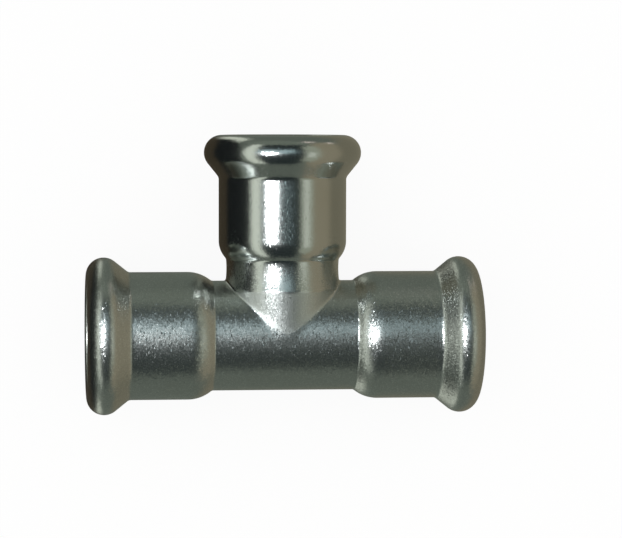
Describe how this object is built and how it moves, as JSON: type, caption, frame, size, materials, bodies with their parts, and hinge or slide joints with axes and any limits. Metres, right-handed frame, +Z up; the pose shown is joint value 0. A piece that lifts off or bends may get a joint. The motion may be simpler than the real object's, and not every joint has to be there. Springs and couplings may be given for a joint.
{
  "type": "press-fit pipe tee",
  "caption": "Equal pipe tee of formed stainless steel with beaded press-fit sockets; joins a branch pipe to a run, sealed by a rubber ring in each bead.",
  "frame": {"origin": "under the middle of the tee's outline, on the plane that its three beads lie on", "axes": "+X along the run, +Y along the branch towards its mouth, +Z up from the plane it lies on"},
  "size_m": [0.078, 0.0554, 0.0312],
  "materials": {
    "steel": "satin, pickled",
    "seal_rubber": "matte, moulded"
  },
  "bodies": {
    "root": {"tee_body": "steel", "left_seal_ring": "seal_rubber", "right_seal_ring": "seal_rubber", "branch_seal_ring": "seal_rubber"}
  },
  "joints": []
}
